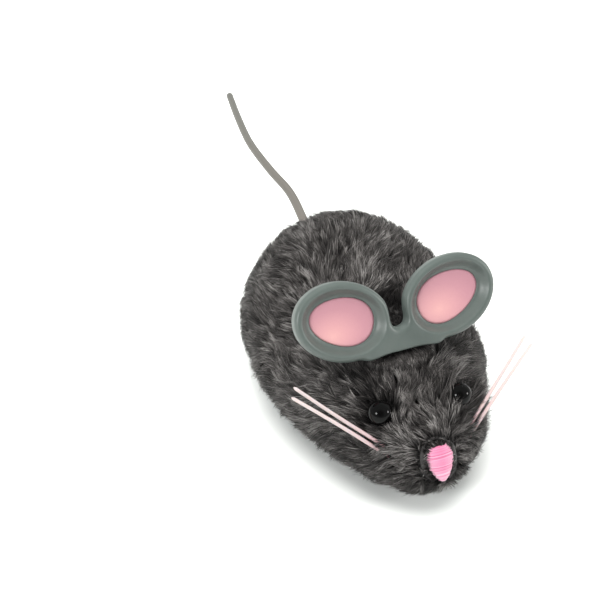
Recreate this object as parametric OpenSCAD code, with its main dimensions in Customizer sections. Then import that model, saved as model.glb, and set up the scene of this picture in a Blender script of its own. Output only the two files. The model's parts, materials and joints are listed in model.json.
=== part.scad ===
// Plush clockwork mouse whose one-piece ears are the winding key.
// Millimetres, +Z up, nose towards -Y, the mouse's left side towards +X.
// The origin is on the floor, under the middle of the drive axle.

/* [Fur body] */
// Gap between the fur surface and the plastic shell at the sides
cover_side = 3.2; // [3:0.1:3.6]
// Gap between the fur surface and the plastic shell on top
cover_top = 2.8; // [2.6:0.1:3.2]
// Height of the fur hem above the floor
hem_z = 3.0; // [2.6:0.1:3.4]
// Wall thickness of the plastic shell
shell_wall = 1.2; // [1:0.1:1.3]

/* [Ears and key] */
// Position of the winding arbor along the body
key_y = -29; // [-29.5:0.1:-28.5]
// Height of the middle of the ears
ear_z = 40.4; // [40.3:0.1:42]
// Half length of an ear's outline
ear_a = 12.5; // [12.2:0.1:12.8]
// Half height of an ear's outline
ear_b = 9.8; // [9.4:0.1:9.9]
// Distance of each ear's middle from the arbor
ear_reach = 14.1; // [13.8:0.1:14.4]
// How far each ear's outer end is turned up
ear_splay = 17; // [14:1:18]
// How far the ears lean back
ear_lean = 28; // [26:1:30]
// How far the key stands turned from square
ear_turn = 3; // [0:1:6]
// Thickness of the ears
ear_t = 5; // [4.4:0.1:5.2]
// Half width of the bridge between the ears
bridge_half = 9.4; // [8.6:0.1:9.6]
// Radius of the round opening in the fur around the stem
well_r = 10.5; // [10.2:0.1:11]

/* [Running gear] */
// Radius of a drive wheel over its tyre
wheel_r = 10; // [9.6:0.1:10]
// Inner face of a drive wheel
wheel_x = 12.6; // [12.5:0.1:12.8]
// Width of a drive wheel
wheel_w = 4.2; // [3.8:0.1:4.2]
// Radius of the drive axle
axle_r = 1.25; // [1:0.05:1.4]
// Radius of the front roller
roller_r = 3.5; // [3.2:0.1:3.5]
// Position of the front roller along the body
roller_y = -45.8; // [-46:0.1:-45.6]
// Angle of the front roller's pin, which makes the mouse run in a curve
roller_steer = 12; // [0:1:12]

/* [Clockwork] */
// Distance from the arbor to the second gear's pin
great_distance = 14.8; // [14.6:0.1:15]
// Teeth on the great wheel
great_teeth = 36; // [36]
// Teeth on the second gear's wheel
second_teeth = 30; // [30]
// Teeth on the crown gear
crown_teeth = 24; // [24]
// Teeth on every pinion
pinion_teeth = 12; // [12]
// Turns of the mainspring
spring_turns = 6; // [5:1:7]

/* [Face and tail] */
// Radius of an eye
eye_r = 3.1; // [2.8:0.1:3.3]
// Radius of a whisker at its root
whisker_r = 0.42; // [0.3:0.02:0.5]
// Radius of the tail at its root
tail_root_r = 1.45; // [1.3:0.05:1.5]
// Radius of the tail at its tip
tail_tip_r = 1.0; // [0.8:0.05:1.1]

/* [Hidden] */
$fn = 48;
eps = 0.01;

// Body sections: position, half width, top, height of widest line, underside
STATIONS = [
    [-62, 1.5, 16, 13.5, 11],
    [-60.5, 5.5, 19, 13, 8],
    [-57, 9.3, 21.5, 13, 5.5],
    [-51, 14.3, 24.3, 13, 3.5],
    [-44, 18.2, 27, 13, 2],
    [-36, 21.8, 28.6, 13.5, 0.5],
    [-28, 25, 29.2, 14, -1],
    [-20, 27, 29.3, 14.5, -2],
    [-14, 27.8, 30.2, 14.5, -2],
    [-7, 28, 34, 15, -2],
    [0, 27.6, 38, 15, -2],
    [7, 26.4, 39.7, 15, -2],
    [15, 23.6, 38, 15, -1.5],
    [22, 18.6, 33.4, 15, 0],
    [27, 11.5, 26.5, 15, 4],
    [29.5, 1.5, 18, 15, 12]
];
last_station = len(STATIONS) - 1;
body_front = STATIONS[0][0];
body_back = STATIONS[last_station][0];

// Levels of the running gear and the clockwork
floor_z0 = 3.5;
floor_z1 = 5;
lower_plate_z1 = 6.4;
great_z0 = 7.1;
great_z1 = 8.5;
ratchet_z0 = 8.7;
ratchet_z1 = 9.9;
spring_z0 = 10.4;
spring_z1 = 15;
axle_z = wheel_r;
crown_z0 = 13.1;
crown_disc_z0 = 14.4;
crown_disc_z1 = 15.4;
crown_top_z = 17.6;
second_wheel_z0 = 15.8;
second_wheel_z1 = 17;
upper_plate_z0 = 18.2;
upper_plate_z1 = 19.6;
pit_floor_z0 = 21.2;
pit_floor_z1 = 22.4;
stem_z0 = 20.2;
bridge_z = 32.2;
socket_z1 = 26.4;

// Gear centres and modules
second_y = key_y + great_distance;
great_module = 2 * great_distance / (great_teeth + pinion_teeth);
second_module = 2 * -second_y / (second_teeth + pinion_teeth);
crown_pitch_r = 7.2;
crown_module = 2 * crown_pitch_r / crown_teeth;
crown_tooth_in = 6;
crown_tooth_out = 8.4;

// Thickness of the bridge and the half axes of the inner ears
bridge_t = 4.4;
pink_a = 8.35;
pink_b = 5.85;

// Fits
run_gap = 0.05;
press_gap = 0.01;
cover_gap = 0.15;

// Shell, chassis and motor places
shell_front = -52;
shell_back = 26;
shell_posts = [[-15.5, -26.5], [15.5, -26.5], [-10.2, 18.5], [10.2, 18.5]];
post_r = 1.9;
pillars = [[-8, -39.6], [8, -39.6], [-12.3, -14.2], [12.3, -14.2]];
pillar_r = 1.4;
pin_r = 1;
stem_r = 4;
skirt_r = 5.6;
arbor_r = 1.9;
arbor_square = 2.6;
bracket_x = 9.6;
bracket_t = 2.2;
roller_half = 3.25;
roller_pin_r = 0.75;
click_pivot_r = 8.2;
click_rivet_r = 0.6;
ratchet_teeth = 14;
ratchet_r = 5;

// Face
eye_pos = [10.3, -46.8, 24.2];
eye_dir = [0.46, -0.4, 0.79];
washer_depth = 5.4;
nose_pos = [0, -60.1, 17.5];
nose_tilt = 28;
nose_size = [3.3, 1.5, 4.9];
whisker_roots = [[11, -51.9, 18.2], [10.3, -53.3, 15.8]];
whisker_spans = [[18, 14.3, 12], [19.9, 13.9, 13]];
whisker_spread = 2.6;

// Tail route, from its flange inside the shell to its tip
tail_route = [[0, 22, 20], [0, 27, 20], [0.3, 33, 20.4], [1.1, 41, 21.5], [1.2, 52, 23],
    [-0.5, 64, 23.5], [-1.2, 80, 23], [0.3, 96, 22], [2.5, 112, 21]];
tail_sides = 12;
tail_steps = 5;

// Catmull-Rom value at fraction t between b and c
function spline(a, b, c, d, t) = 0.5 * (2 * b + (c - a) * t
    + (2 * a - 5 * b + 4 * c - d) * t * t + (3 * b - a - 3 * c + d) * t * t * t);

// Smooth value along a list at position s, counted in list steps
function along(list, s) =
    let (last = len(list) - 1, i = min(floor(s), last - 1))
    spline(list[max(i - 1, 0)], list[i], list[i + 1], list[min(i + 2, last)], s - i);

// Body section at position y
function station_index(y, i = 0) =
    (i >= last_station - 1 || y < STATIONS[i + 1][0]) ? i : station_index(y, i + 1);
function station(y) =
    let (i = station_index(y), a = STATIONS[i][0], b = STATIONS[i + 1][0])
    along(STATIONS, i + (y - a) / (b - a));

// Half width of a section at height z below its widest line, with a side inset
function low_half(s, side, z) =
    (s[1] - side) * sqrt(max(0, 1 - pow((s[3] - z) / (s[3] - s[4]), 2)));

// Outline of one body section, inset at the sides and on top
function section_points(s, side, top, bottom, count) = [
    for (k = [0 : count - 1])
        let (a = 360 * k / count, up = sin(a) >= 0)
        [max(s[1] - side, 0.3) * cos(a),
            s[3] + (up ? max(s[2] - s[3] - top, 0.3) : max(s[3] - s[4] - bottom, 0.3)) * sin(a)]
];

// Body shape between two positions, made from thin slices joined in a chain
module body_solid(y0, y1, side, top, bottom, steps, count) {
    for (k = [0 : steps - 1])
        hull()
            for (j = [k, k + 1]) {
                y = y0 + (y1 - y0) * j / steps;
                translate([0, y, 0])
                    rotate([90, 0, 0])
                        linear_extrude(eps)
                            polygon(section_points(station(y), side, top, bottom, count));
            }
}

// Plan outline of the shell's foot, grown by a margin
module foot_outline(grow) {
    ys = [for (k = [0 : 26]) shell_front + (shell_back - shell_front) * k / 26];
    right = [for (y = ys) [low_half(station(y), cover_side, floor_z1) + grow, y]];
    left = [for (k = [26 : -1 : 0]) [-right[k][0], right[k][1]]];
    polygon(concat(right, left));
}

// Spur gear with straight-sided teeth
module spur_gear(teeth, mod, height) {
    pitch_r = teeth * mod / 2;
    root_r = pitch_r - 1.15 * mod;
    tip_r = pitch_r + 0.75 * mod;
    step = 360 / teeth;
    linear_extrude(height)
        polygon([for (k = [0 : teeth - 1], p = [[-0.27, 0], [-0.1, 1], [0.1, 1], [0.27, 0]])
            let (a = (k + p[0]) * step, r = p[1] == 1 ? tip_r : root_r)
            [r * cos(a), r * sin(a)]]);
}

// Screw with a round head, shank pointing up from the head
module screw(head_r, head_h, shank_r, length) {
    cylinder(r = head_r, h = head_h);
    translate([0, 0, head_h - eps])
        cylinder(r = shank_r, h = length - head_h + eps);
}

// Places its children on an eye's axis, at the eye's middle; side is 1 or -1
module at_eye(side) {
    tilt = acos(eye_dir[2] / norm(eye_dir));
    turn = atan2(eye_dir[1], side * eye_dir[0]);
    translate([side * eye_pos[0], eye_pos[1], eye_pos[2]])
        rotate([0, tilt, turn])
            children();
}

// Turns its children about the arbor, as the key stands
module key_turned() {
    translate([0, key_y, 0])
        rotate([0, 0, ear_turn])
            translate([0, -key_y, 0])
                children();
}

// Places its children in the plane of the ears, where Y is the thickness
module at_ears() {
    translate([0, key_y, ear_z])
        rotate([-ear_lean, 0, 0])
            children();
}

// Ellipse slab in the plane of the ears, centred on one ear
module ear_slab(side, a, b, y0, y1) {
    translate([side * ear_reach, 0, 0])
        rotate([0, -side * ear_splay, 0])
            translate([0, y1, 0])
                rotate([90, 0, 0])
                    linear_extrude(y1 - y0)
                        scale([1, b / a])
                            circle(r = a);
}

// Places its children at the front roller, along its steered pin
module at_roller() {
    translate([0, roller_y, roller_r])
        rotate([0, 0, roller_steer])
            children();
}

module fur_cover() {
    color([0.36, 0.35, 0.35])
        difference() {
            intersection() {
                body_solid(body_front, body_back, 0, 0, 0, 40, 40);
                translate([-40, -80, hem_z])
                    cube([80, 130, 60]);
            }
            shell_solid(-cover_gap);
            translate([0, 0, -1])
                linear_extrude(floor_z1 + 1.5)
                    foot_outline(cover_gap);
            snout_solid(0);
            translate([0, key_y, pit_floor_z0])
                cylinder(r = well_r, h = 20);
            for (side = [-1, 1])
                at_eye(side) {
                    sphere(r = eye_r + cover_gap);
                    translate([0, 0, -8])
                        cylinder(r = 1.05, h = 8);
                }
            at_nose(cover_gap);
            translate([0, 20, tail_route[0][2]])
                rotate([-90, 0, 0])
                    cylinder(r = tail_root_r + cover_gap, h = 20);
            for (side = [-1, 1], k = [0, 1])
                whisker_shape(side, k, cover_gap);
        }
}

// Space that the plastic shell fills, with a negative inset to grow it
module shell_solid(inset) {
    intersection() {
        body_solid(shell_front + inset, shell_back - inset, cover_side + inset,
            cover_top + inset, 0, 22, 32);
        translate([-40, -80, floor_z1])
            cube([80, 130, 60]);
    }
}

module upper_shell() {
    color([0.1, 0.1, 0.11])
        difference() {
            union() {
                difference() {
                    shell_solid(0);
                    shell_solid(shell_wall);
                    translate([0, 0, floor_z1 - 1])
                        linear_extrude(1 + eps)
                            foot_outline(-shell_wall);
                }
                intersection() {
                    shell_solid(shell_wall - eps);
                    union() {
                        for (p = shell_posts)
                            translate([p[0], p[1], 0])
                                cylinder(r = post_r, h = 40, $fn = 24);
                        for (side = [-1, 1])
                            at_eye(side)
                                translate([0, 0, -washer_depth])
                                    cylinder(r = 2, h = washer_depth, $fn = 24);
                        translate([0, key_y, pit_floor_z0])
                            cylinder(r = well_r, h = 20);
                    }
                }
            }
            translate([0, key_y, pit_floor_z1])
                cylinder(r = well_r - shell_wall, h = 20);
            translate([0, key_y, 0])
                cylinder(r = stem_r + 0.6, h = 40);
            for (p = shell_posts)
                translate([p[0], p[1], 0])
                    cylinder(r = 0.9, h = 12, $fn = 24);
            for (side = [-1, 1])
                at_eye(side)
                    translate([0, 0, -12])
                        cylinder(r = 1.05, h = 12, $fn = 24);
            translate([0, 20, tail_route[0][2]])
                rotate([-90, 0, 0])
                    cylinder(r = tail_root_r + run_gap, h = 20);
        }
}

// Space inside the fur of the snout
module snout_solid(inset) {
    body_solid(-59.4 + inset, shell_front - cover_gap - inset, 2.4 + inset, 2.4 + inset,
        2.4 + inset, 9, 28);
}

module snout_stuffing() {
    color([0.93, 0.92, 0.88])
        difference() {
            snout_solid(0.1);
            at_nose(cover_gap);
            for (side = [-1, 1], k = [0, 1])
                whisker_shape(side, k, cover_gap);
        }
}

// Pad of the nose, grown by a margin
module at_nose(grow) {
    translate(nose_pos)
        rotate([-nose_tilt, 0, 0])
            scale([nose_size[0] + grow, nose_size[1] + grow, nose_size[2] + grow])
                sphere(r = 1, $fn = 32);
}

module nose_embroidery() {
    color([0.95, 0.5, 0.68])
        at_nose(0);
}

module eye(side) {
    color([0.02, 0.02, 0.02])
        at_eye(side) {
            sphere(r = eye_r);
            translate([0, 0, -washer_depth - 1.6])
                cylinder(r = 1, h = washer_depth + 1.6);
        }
}

module eye_washer(side) {
    color([0.9, 0.9, 0.88])
        at_eye(side)
            translate([0, 0, -washer_depth - 0.8])
                difference() {
                    cylinder(r = 2.4, h = 0.8 - eps);
                    translate([0, 0, -1])
                        cylinder(r = 1 + press_gap, h = 3);
                }
}

// Tapered whisker on one side, grown by a margin
module whisker_shape(side, k, grow) {
    root = whisker_roots[k];
    span = whisker_spans[k] + [side > 0 ? whisker_spread : 0, 0, 0];
    reach = norm(span);
    translate([side * root[0], root[1], root[2]])
        rotate([0, acos(span[2] / reach), atan2(span[1], side * span[0])])
            cylinder(r1 = whisker_r + grow, r2 = whisker_r * 0.75 + grow, h = reach, $fn = 16);
}

module whisker(side, k) {
    color([0.97, 0.9, 0.9])
        whisker_shape(side, k, 0);
}

// Tube of changing radius swept along the tail's route
module tail() {
    spans = len(tail_route) - 1;
    rings = spans * tail_steps;
    path = [for (k = [0 : rings]) along(tail_route, k / tail_steps)];
    points = [for (k = [0 : rings], j = [0 : tail_sides - 1])
        let (
            ahead = path[min(k + 1, rings)] - path[max(k - 1, 0)],
            side = cross(ahead, [0, 0, 1]) / norm(cross(ahead, [0, 0, 1])),
            up = cross(side, ahead) / norm(ahead),
            r = tail_root_r + (tail_tip_r - tail_root_r) * k / rings,
            a = 360 * j / tail_sides
        )
        path[k] + r * (cos(a) * side + sin(a) * up)];
    walls = [for (k = [0 : rings - 1], j = [0 : tail_sides - 1])
        let (n = (j + 1) % tail_sides, a = k * tail_sides)
        [a + j, a + n, a + tail_sides + n, a + tail_sides + j]];
    root_cap = [[for (j = [tail_sides - 1 : -1 : 0]) j]];
    tip_cap = [[for (j = [0 : tail_sides - 1]) rings * tail_sides + j]];
    color([0.42, 0.42, 0.38]) {
        polyhedron(points = points, faces = concat(walls, root_cap, tip_cap));
        translate(tail_route[0])
            rotate([-90, 0, 0])
                cylinder(r = 2.8, h = 1.2);
    }
}

// Ears, bridge and stem as one plastic piece, with a skirt over the hole in the well's
// floor and a square socket in the stem
module ear_key() {
    half = ear_t / 2;
    bridge_low = -10.4;
    bridge_high = -4.6;
    color([0.44, 0.48, 0.46])
        key_turned()
            difference() {
                union() {
                    at_ears()
                        for (side = [-1, 1])
                            hull() {
                                ear_slab(side, ear_a - 1.3, ear_b - 1.3, -half, half);
                                ear_slab(side, ear_a - 0.4, ear_b - 0.4, -half * 0.65, half * 0.65);
                                ear_slab(side, ear_a, ear_b, -half * 0.2, half * 0.2);
                            }
                    intersection() {
                        hull() {
                            at_ears()
                                translate([-bridge_half, -bridge_t / 2, bridge_low])
                                    cube([2 * bridge_half, bridge_t, bridge_high - bridge_low]);
                            translate([0, key_y, bridge_z])
                                cylinder(r = stem_r, h = eps);
                        }
                        translate([-20, key_y - 20, bridge_z])
                            cube([40, 40, 20]);
                    }
                    translate([0, key_y, stem_z0])
                        cylinder(r = stem_r, h = bridge_z - stem_z0 + 1);
                    translate([0, key_y, pit_floor_z1 + 0.3])
                        cylinder(r = skirt_r, h = 0.8);
                }
                at_ears()
                    for (side = [-1, 1])
                        hull() {
                            ear_slab(side, ear_a - 2, ear_b - 2, -half - 1, -half);
                            ear_slab(side, pink_a + 0.05, pink_b + 0.05, -half - 1, -half + 3.1);
                        }
                translate([0, key_y, (stem_z0 - 1 + socket_z1) / 2])
                    cube([arbor_square + 2 * run_gap, arbor_square + 2 * run_gap,
                        socket_z1 - stem_z0 + 1], center = true);
            }
}

module inner_ear(side) {
    color([0.93, 0.68, 0.74])
        key_turned()
            at_ears()
                ear_slab(side, pink_a, pink_b, -ear_t / 2 + 2.2, -ear_t / 2 + 3.1 - press_gap);
}

// Arbor that the key turns: journals, spring core and square end
module winding_arbor() {
    color([0.75, 0.72, 0.6])
        translate([0, key_y, 0]) {
            translate([0, 0, floor_z1])
                cylinder(r = 1.2, h = great_z0 - floor_z1);
            translate([0, 0, lower_plate_z1 + 0.2])
                cylinder(r = arbor_r, h = spring_z1 - lower_plate_z1);
            translate([0, 0, spring_z1])
                cylinder(r = 1.5, h = upper_plate_z1 - spring_z1 + 0.3);
            translate([0, 0, upper_plate_z1 + 0.2])
                rotate([0, 0, ear_turn])
                    translate([-arbor_square / 2, -arbor_square / 2, 0])
                        cube([arbor_square, arbor_square, socket_z1 - upper_plate_z1 - 0.4]);
        }
}

module ratchet_wheel() {
    step = 360 / ratchet_teeth;
    color([0.78, 0.66, 0.38])
        translate([0, key_y, ratchet_z0])
            linear_extrude(ratchet_z1 - ratchet_z0)
                difference() {
                    polygon([for (k = [0 : ratchet_teeth - 1], p = [[0, ratchet_r], [0.08, ratchet_r - 0.9]])
                        let (a = (k + p[0]) * step)
                        [p[1] * cos(a), p[1] * sin(a)]]);
                    circle(r = arbor_r + press_gap);
                }
}

// Great wheel with the rivet that the click turns on
module great_wheel() {
    color([0.78, 0.66, 0.38])
        translate([0, key_y, great_z0]) {
            difference() {
                spur_gear(great_teeth, great_module, great_z1 - great_z0);
                translate([0, 0, -1])
                    cylinder(r = arbor_r + run_gap, h = 5);
            }
            translate([0, -click_pivot_r, 0])
                cylinder(r = click_rivet_r, h = ratchet_z1 - great_z0 + 0.2);
        }
}

// Click: a pivoted finger, drawn lifted just clear of the ratchet's teeth
module click_pawl() {
    color([0.7, 0.71, 0.72])
        translate([0, key_y, ratchet_z0])
            linear_extrude(ratchet_z1 - ratchet_z0)
                difference() {
                    union() {
                        translate([0, -click_pivot_r])
                            circle(r = 1.3);
                        polygon([[1.1, -click_pivot_r + 0.6], [-1.3, -click_pivot_r],
                            [-4.1, -4.6], [-3.1, -4.15]]);
                    }
                    translate([0, -click_pivot_r])
                        circle(r = click_rivet_r + run_gap);
                }
}

// Wire that presses the click towards the ratchet
module click_spring() {
    color([0.7, 0.71, 0.72])
        translate([0, key_y, great_z1]) {
            translate([-8.2, -2.4, 0])
                cylinder(r = 0.5, h = 1.2);
            translate([0, 0, 0.5])
                linear_extrude(0.5)
                    polygon([[-8.45, -2.4], [-7.95, -2.4], [-3.2, -6.6], [-3.5, -6.9]]);
        }
}

// Point of the mainspring, a number of steps back from its outer end
function spiral_point(anchor, steps, r) =
    [r * cos(anchor - 15 * steps), r * sin(anchor - 15 * steps)];

// Spiral strip between the arbor and a pillar, with a tab at its outer end
module mainspring() {
    strip = 0.34;
    r0 = arbor_r + 0.12;
    r1 = 10.2;
    count = spring_turns * 24;
    anchor = atan2(pillars[1][1] - key_y, pillars[1][0]);
    reach = norm([pillars[1][0], pillars[1][1] - key_y]) - pillar_r - run_gap;
    inner = [for (k = [0 : count]) spiral_point(anchor, count - k, r0 + (r1 - r0) * k / count)];
    outer = [for (k = [count - 1 : -1 : 0])
        spiral_point(anchor, count - k, r0 + (r1 - r0) * k / count + strip)];
    tab = [for (p = [[0, reach], [0.2, reach], [0.2, r1 + strip]])
        spiral_point(anchor, p[0], p[1])];
    color([0.55, 0.58, 0.62])
        translate([0, key_y, spring_z0])
            linear_extrude(spring_z1 - spring_z0)
                polygon(concat(inner, tab, outer));
}

// Second gear: a pinion and a wheel on one sleeve, turning on its pin
module second_gear() {
    color([0.9, 0.89, 0.84])
        translate([0, second_y, 0])
            difference() {
                union() {
                    translate([0, 0, great_z0 - 0.3])
                        rotate(180 / pinion_teeth)
                            spur_gear(pinion_teeth, great_module, 2.4);
                    translate([0, 0, great_z0 + 2])
                        cylinder(r = 2.4, h = second_wheel_z0 - great_z0 - 1.9);
                    translate([0, 0, second_wheel_z0])
                        spur_gear(second_teeth, second_module, second_wheel_z1 - second_wheel_z0);
                }
                cylinder(r = pin_r + run_gap, h = 40);
            }
}

// Crown gear: face teeth that point down, and a pinion above
module crown_gear() {
    step = 360 / crown_teeth;
    tooth_h = crown_disc_z0 - crown_z0;
    color([0.9, 0.89, 0.84])
        difference() {
            union() {
                translate([0, 0, crown_disc_z0])
                    cylinder(r = crown_tooth_out, h = crown_disc_z1 - crown_disc_z0);
                for (k = [0 : crown_teeth - 1])
                    rotate((k + 0.5) * step)
                        translate([crown_tooth_in, 0, crown_disc_z0])
                            rotate([0, 90, 0])
                                linear_extrude(crown_tooth_out - crown_tooth_in - 0.05)
                                    polygon([[-0.1, 0.4], [-0.1, -0.4], [tooth_h, -0.17], [tooth_h, 0.17]]);
                translate([0, 0, crown_z0])
                    cylinder(r = 2.6, h = crown_disc_z1 - crown_z0);
                translate([0, 0, crown_disc_z1 - eps])
                    spur_gear(pinion_teeth, second_module, crown_top_z - crown_disc_z1);
            }
            cylinder(r = pin_r + run_gap, h = 40);
        }
}

module second_gear_pin() {
    color([0.75, 0.75, 0.77])
        translate([0, second_y, floor_z1])
            cylinder(r = pin_r, h = upper_plate_z1 - floor_z1);
}

module crown_gear_pin() {
    color([0.75, 0.75, 0.77]) {
        translate([0, 0, crown_z0 - 0.8])
            cylinder(r = 1.8, h = 0.7);
        translate([0, 0, crown_z0 - 0.8])
            cylinder(r = pin_r, h = upper_plate_z1 - crown_z0 + 0.8);
    }
}

module motor_pillars() {
    color([0.78, 0.66, 0.38])
        for (p = pillars)
            translate([p[0], p[1], lower_plate_z1])
                difference() {
                    cylinder(r = pillar_r, h = upper_plate_z0 - lower_plate_z1);
                    translate([0, 0, -1])
                        cylinder(r = 0.7, h = 20);
                }
}

// Plate with round corners over the pillars, drilled for them and the arbor
module motor_plate(z0, z1, journal_r, extra) {
    translate([0, 0, z0])
        difference() {
            linear_extrude(z1 - z0)
                hull()
                    for (p = concat(pillars, extra))
                        translate([p[0], p[1]])
                            circle(r = 2, $fn = 32);
            translate([0, key_y, -1])
                cylinder(r = journal_r, h = 5);
            translate([0, second_y, -1])
                cylinder(r = pin_r + press_gap, h = 5);
            for (p = pillars)
                translate([p[0], p[1], -1])
                    cylinder(r = 0.75, h = 5);
        }
}

module motor_lower_plate() {
    color([0.72, 0.73, 0.75])
        motor_plate(floor_z1, lower_plate_z1, 1.2 + run_gap, []);
}

module motor_upper_plate() {
    color([0.72, 0.73, 0.75])
        difference() {
            motor_plate(upper_plate_z0, upper_plate_z1, 1.5 + run_gap, [[0, 1]]);
            translate([0, 0, upper_plate_z0 - 1])
                cylinder(r = pin_r + press_gap, h = 5);
        }
}

// Screws into both ends of the four pillars
module motor_screws() {
    color([0.7, 0.71, 0.73])
        for (p = pillars) {
            translate([p[0], p[1], upper_plate_z1 + 1])
                rotate([180, 0, 0])
                    screw(1.5, 1, 0.68, 5);
            translate([p[0], p[1], floor_z0])
                screw(1.5, 0.9, 0.68, 6);
        }
}

// Screws that hold the shell's posts from below
module shell_screws() {
    color([0.7, 0.71, 0.73])
        for (p = shell_posts)
            translate([p[0], p[1], floor_z0])
                screw(1.7, 0.9, 0.88, 7.5);
}

// Chassis floor with wheel slots, axle brackets and roller bosses
module chassis_base() {
    slot_half = sqrt(pow(wheel_r, 2) - pow(axle_z - floor_z1, 2)) + 0.7;
    color([0.12, 0.12, 0.13])
        difference() {
            union() {
                translate([0, 0, floor_z0])
                    linear_extrude(floor_z1 - floor_z0)
                        foot_outline(0);
                for (side = [-1, 1])
                    translate([side * (bracket_x + bracket_t / 2) - bracket_t / 2, 0, 0]) {
                        translate([0, -3, floor_z1 - eps])
                            cube([bracket_t, 6, axle_z - floor_z1 + eps]);
                        translate([0, 0, axle_z])
                            rotate([0, 90, 0])
                                cylinder(r = 3, h = bracket_t);
                    }
                at_roller()
                    for (side = [-1, 1])
                        translate([side * (roller_half + 1.5) - 1, -1.8, -1.3])
                            cube([2, 3.6, floor_z1 - roller_r + 1.3]);
            }
            for (side = [-1, 1])
                translate([side * (wheel_x + wheel_w / 2) - wheel_w / 2 - 0.5, -slot_half, 0])
                    cube([wheel_w + 1, 2 * slot_half, floor_z1 + 1]);
            translate([-20, 0, axle_z])
                rotate([0, 90, 0])
                    cylinder(r = axle_r + run_gap, h = 40);
            at_roller() {
                translate([-roller_half - 0.4, -roller_r - 0.6, -roller_r])
                    cube([2 * roller_half + 0.8, 2 * roller_r + 1.2, 12]);
                translate([-12, 0, 0])
                    rotate([0, 90, 0])
                        cylinder(r = roller_pin_r + press_gap, h = 24);
            }
            for (p = shell_posts)
                translate([p[0], p[1], floor_z0 - 1]) {
                    cylinder(r = 1.75, h = 1.9);
                    cylinder(r = 0.9, h = 5);
                }
            for (p = pillars)
                translate([p[0], p[1], floor_z0 - 1]) {
                    cylinder(r = 1.55, h = 1.9);
                    cylinder(r = 0.75, h = 5);
                }
        }
}

module drive_axle() {
    reach = wheel_x + wheel_w + 0.3;
    color([0.75, 0.75, 0.77])
        translate([-reach, 0, axle_z])
            rotate([0, 90, 0])
                cylinder(r = axle_r, h = 2 * reach);
}

// Pinion on the axle, under the crown gear's teeth
module axle_pinion() {
    color([0.9, 0.89, 0.84])
        translate([-crown_tooth_out, 0, axle_z])
            rotate([0, 90, 0])
                difference() {
                    union() {
                        spur_gear(pinion_teeth, crown_module, crown_tooth_out - crown_tooth_in);
                        cylinder(r = 2.2, h = 5);
                    }
                    translate([0, 0, -1])
                        cylinder(r = axle_r + press_gap, h = 8);
                }
}

// Wheel disc with a recessed outer face
module wheel(side) {
    color([0.15, 0.15, 0.16])
        translate([side * wheel_x, 0, axle_z])
            rotate([0, side * 90, 0])
                difference() {
                    cylinder(r = wheel_r - 1.3, h = wheel_w);
                    translate([0, 0, wheel_w - 1])
                        difference() {
                            cylinder(r = wheel_r - 2.6, h = 2);
                            cylinder(r = 2.6, h = 3);
                        }
                    translate([0, 0, -1])
                        cylinder(r = axle_r + press_gap, h = 10);
                }
}

// Rubber tyre with rounded shoulders
module tyre(side) {
    r0 = wheel_r - 1.3 + press_gap;
    color([0.08, 0.08, 0.08])
        translate([side * wheel_x, 0, axle_z])
            rotate([0, side * 90, 0])
                rotate_extrude()
                    polygon([[r0, 0], [wheel_r - 0.4, 0], [wheel_r, 0.5], [wheel_r, wheel_w - 0.5],
                        [wheel_r - 0.4, wheel_w], [r0, wheel_w]]);
}

module front_roller() {
    color([0.15, 0.15, 0.16])
        at_roller()
            translate([-roller_half, 0, 0])
                rotate([0, 90, 0])
                    rotate_extrude()
                        polygon([[roller_pin_r + run_gap, 0], [roller_r - 0.5, 0], [roller_r, 0.5],
                            [roller_r, 2 * roller_half - 0.5], [roller_r - 0.5, 2 * roller_half],
                            [roller_pin_r + run_gap, 2 * roller_half]]);
}

module front_roller_pin() {
    color([0.75, 0.75, 0.77])
        at_roller()
            translate([-roller_half - 2.4, 0, 0])
                rotate([0, 90, 0])
                    cylinder(r = roller_pin_r, h = 2 * roller_half + 4.8);
}

fur_cover();
snout_stuffing();
nose_embroidery();
eye(1);  // eye_left
eye(-1);  // eye_right
eye_washer(1);  // eye_washer_left
eye_washer(-1);  // eye_washer_right
whisker(1, 0);  // whisker_left_upper
whisker(1, 1);  // whisker_left_lower
whisker(-1, 0);  // whisker_right_upper
whisker(-1, 1);  // whisker_right_lower
tail();
upper_shell();
shell_screws();
chassis_base();
ear_key();
inner_ear(1);  // inner_ear_left
inner_ear(-1);  // inner_ear_right
winding_arbor();
ratchet_wheel();
great_wheel();
click_pawl();
click_spring();
mainspring();
second_gear();
second_gear_pin();
crown_gear();
crown_gear_pin();
motor_lower_plate();
motor_upper_plate();
motor_pillars();
motor_screws();
drive_axle();
axle_pinion();
wheel(1);  // wheel_left
wheel(-1);  // wheel_right
tyre(1);  // tyre_left
tyre(-1);  // tyre_right
front_roller();
front_roller_pin();
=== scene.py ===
"""Looks of the clockwork mouse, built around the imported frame.

Shapes are worked out in millimetres, and the camera and the lights in metres.
"""

import json
import math

import bpy
import numpy as np
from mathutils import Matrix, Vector
from mathutils.kdtree import KDTree


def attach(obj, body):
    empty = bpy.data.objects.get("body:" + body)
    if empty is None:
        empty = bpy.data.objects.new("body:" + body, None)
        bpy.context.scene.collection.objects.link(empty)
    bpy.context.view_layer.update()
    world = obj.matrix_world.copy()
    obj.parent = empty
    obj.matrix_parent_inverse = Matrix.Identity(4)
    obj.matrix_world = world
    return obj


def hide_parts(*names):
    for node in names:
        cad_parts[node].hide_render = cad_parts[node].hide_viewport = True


MM = 0.001
UV_NAME = "OFBake"
SEED = 7
SIDES = ((1, "left"), (-1, "right"))

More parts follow.
